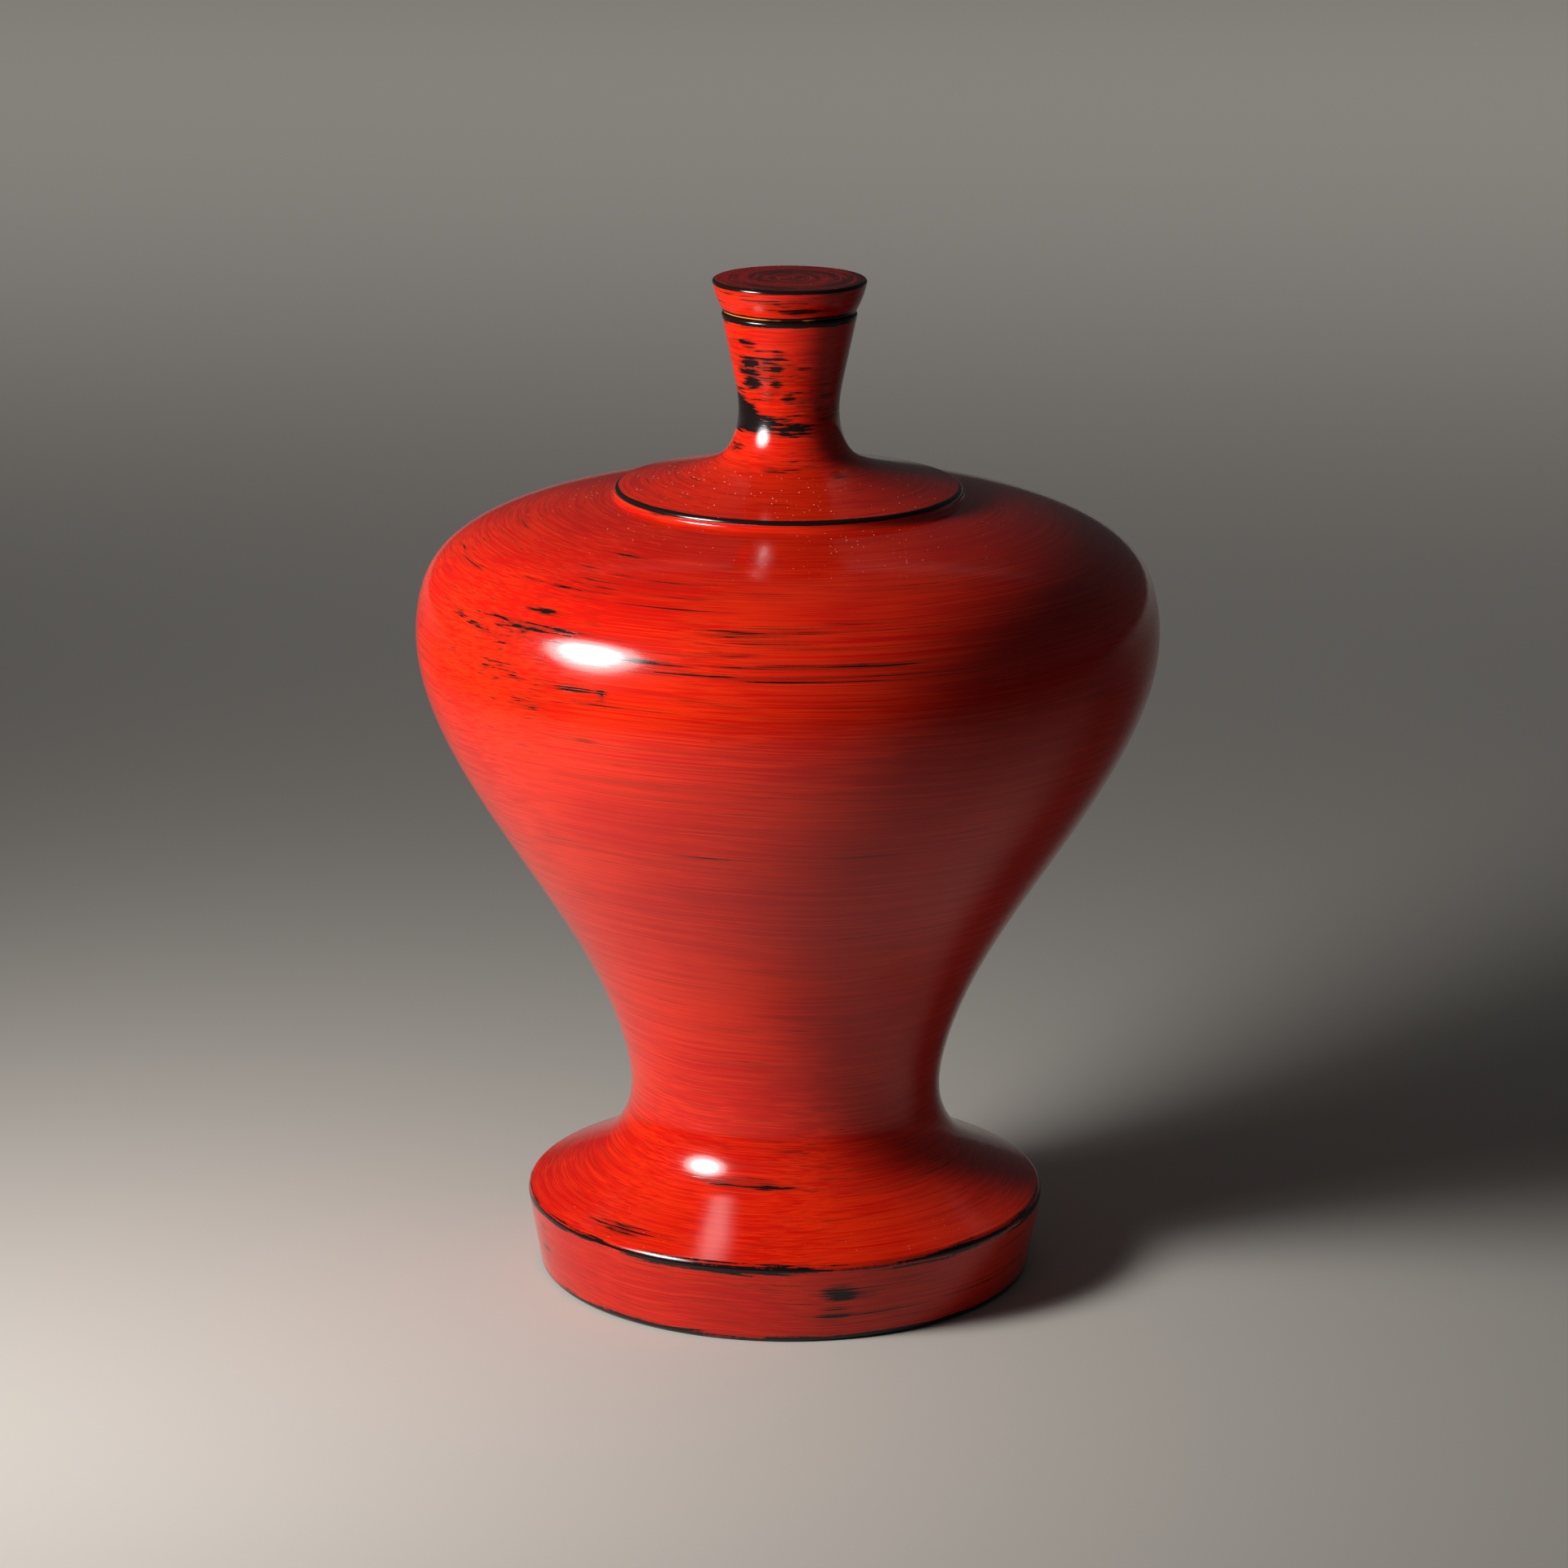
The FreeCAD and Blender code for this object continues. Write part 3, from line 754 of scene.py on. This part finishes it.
def ringed_top(shade, level, lacquer):
    """The stopper's level top, darker, with the rings of its turning."""
    rings = shade.ramp(shade.streaks(*TOP_RINGS), 0.4, 0.58)
    top = shade.mix(rings, DARK_TOP_RED, DEEP_RED)
    return shade.mix(shade.times(level, 0.92), lacquer, top)


def raise_surface(shade, height):
    bump = shade.tree.nodes.new("ShaderNodeBump")
    bump.inputs["Distance"].default_value = 1.0
    shade.feed(bump.inputs["Height"], height)
    shade.feed(shade.surface.inputs["Normal"], bump.outputs[0])


def red_lacquer(name, base_wear, on_stopper=False):
    """Vermilion lacquer brushed over black and worn through in streaks and along edges."""
    shade = Shade(name)
    shade.place()
    noises = all_noises(shade)
    facing_up = shade.facing_up()
    gone, thin = worn_through(shade, noises, base_wear)
    lacquer = shade.mix(gone, red_coat(shade, noises, thin), BLACK)
    gloss = shade.ramp(shade.blend(noises, GLOSS_SHARES), *GLOSS_RANGE, *ROUGHNESS)
    if on_stopper:
        level = shade.ramp(facing_up, 0.97, 1.0)
        lacquer = ringed_top(shade, level, lacquer)
        # paints a reflection: an amber glint in the joint at the stopper's lower edge
        lacquer = shade.mix(seam_glint(shade, noises["bands"]), lacquer, GLINT_AMBER)
        gloss = shade.add(gloss, shade.times(level, 0.16))
    dust = dust_specks(shade, facing_up, noises["clouds"])
    shade.feed(shade.surface.inputs["Base Color"], shade.mix(dust, lacquer, DUST))
    shade.feed(shade.surface.inputs["Roughness"], shade.add(gloss, shade.times(dust, 0.5)))
    shade.surface.inputs["IOR"].default_value = LACQUER_IOR
    raise_surface(shade, shade.add(shade.times(noises["hairs"], HAIR_M),
                                   shade.times(noises["strokes"], STROKE_M),
                                   shade.times(gone, RED_COAT_M)))
    return shade.material


def black_lacquer():
    """The black coat by itself, inside the mouth, on the joints and under the foot."""
    shade = Shade("black_lacquer")
    shade.place()
    lines = shade.streaks(*INSIDE_LINES)
    tint = shade.mix(shade.ramp(lines, 0.35, 0.65), BLACK, BROWN_BLACK)
    shade.feed(shade.surface.inputs["Base Color"], tint)
    shade.feed(shade.surface.inputs["Roughness"], shade.ramp(lines, 0.3, 0.7, 0.26, 0.42))
    return shade.material


# Stage --------------------------------------------------------------------------------------

LENS_MM = 121.83
SENSOR_MM = 36.0
CAMERA_MM = (-0.98, -1671.9, 618.3)
PITCH_DEG = 15.23
ROLL_DEG = 0.30
SEES_TO = 50            # metres, past the far end of the floor

FLOOR_SIZE = 30
FLOOR_COLOUR = (0.47, 0.44, 0.395, 1)
FLOOR_ROUGHNESS = 0.8

KEY_AZIMUTH_DEG = -59
KEY_REACH = 0.62        # metres from the axis
KEY_HEIGHT = 0.42
KEY_AIM = (0, 0, 0.20)
GLOW_AT = (0, 2.9, 1.6)
GLOW_AIM = (0, 2.9, 0)
WORLD_COLOUR = (0.5, 0.5, 0.52, 1)
WORLD_STRENGTH = 0.08


def make_camera():
    data = bpy.data.cameras.new("camera")
    data.lens = LENS_MM
    data.sensor_width = SENSOR_MM
    data.clip_end = SEES_TO
    camera = bpy.data.objects.new("camera", data)
    turn = (Matrix.Rotation(math.radians(90 - PITCH_DEG), 4, "X")
            @ Matrix.Rotation(math.radians(ROLL_DEG), 4, "Z"))
    camera.matrix_world = Matrix.Translation(Vector(CAMERA_MM) * MM) @ turn
    bpy.context.scene.collection.objects.link(camera)
    bpy.context.scene.camera = camera


def make_floor():
    bpy.ops.mesh.primitive_plane_add(size=FLOOR_SIZE)
    floor = bpy.context.object
    floor.name = "floor"
    shade = Shade("floor")
    shade.surface.inputs["Base Color"].default_value = FLOOR_COLOUR
    shade.surface.inputs["Roughness"].default_value = FLOOR_ROUGHNESS
    floor.data.materials.append(shade.material)


def area_light(name, at, aim, size, watts, spread_deg, shape="ELLIPSE"):
    data = bpy.data.lights.new(name, "AREA")
    data.shape = shape
    data.size, data.size_y = size
    data.energy = watts
    data.spread = math.radians(spread_deg)
    light = bpy.data.objects.new(name, data)
    way = Vector(aim) - Vector(at)
    light.matrix_world = (Matrix.Translation(Vector(at))
                          @ way.to_track_quat("-Z", "Y").to_matrix().to_4x4())
    bpy.context.scene.collection.objects.link(light)


def make_lights():
    """A round soft key with a brighter middle, from the front left, and a glow far behind."""
    azimuth = math.radians(KEY_AZIMUTH_DEG)
    at = Vector((KEY_REACH * math.sin(azimuth), -KEY_REACH * math.cos(azimuth), KEY_HEIGHT))
    aim = Vector(KEY_AIM)
    area_light("key", at, aim, size=(0.36, 0.30), watts=1.9, spread_deg=130)
    area_light("key_centre", at.lerp(aim, 0.01), aim, size=(0.22, 0.18), watts=2.35,
               spread_deg=130)
    area_light("floor_glow", GLOW_AT, GLOW_AIM, size=(5.0, 3.0), watts=22, spread_deg=105,
               shape="RECTANGLE")


def make_world():
    world = bpy.data.worlds.new("studio")
    bpy.context.scene.world = world
    world.use_nodes = True
    background = world.node_tree.nodes["Background"]
    background.inputs["Color"].default_value = WORLD_COLOUR
    background.inputs["Strength"].default_value = WORLD_STRENGTH
    bpy.context.scene.view_settings.view_transform = "Standard"


# Scene --------------------------------------------------------------------------------------

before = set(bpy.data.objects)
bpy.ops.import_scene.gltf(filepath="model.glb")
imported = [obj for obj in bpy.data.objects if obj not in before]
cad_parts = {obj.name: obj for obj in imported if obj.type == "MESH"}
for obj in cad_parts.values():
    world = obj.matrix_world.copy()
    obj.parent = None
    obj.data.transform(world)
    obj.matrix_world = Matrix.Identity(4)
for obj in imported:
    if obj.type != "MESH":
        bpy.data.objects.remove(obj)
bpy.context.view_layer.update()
inside = black_lacquer()
make_pieces(red=[red_lacquer("red_lacquer", 0.0), inside],
            stopper=[red_lacquer("stopper_lacquer", 0.35, on_stopper=True), inside])
make_camera()
make_floor()
make_lights()
make_world()
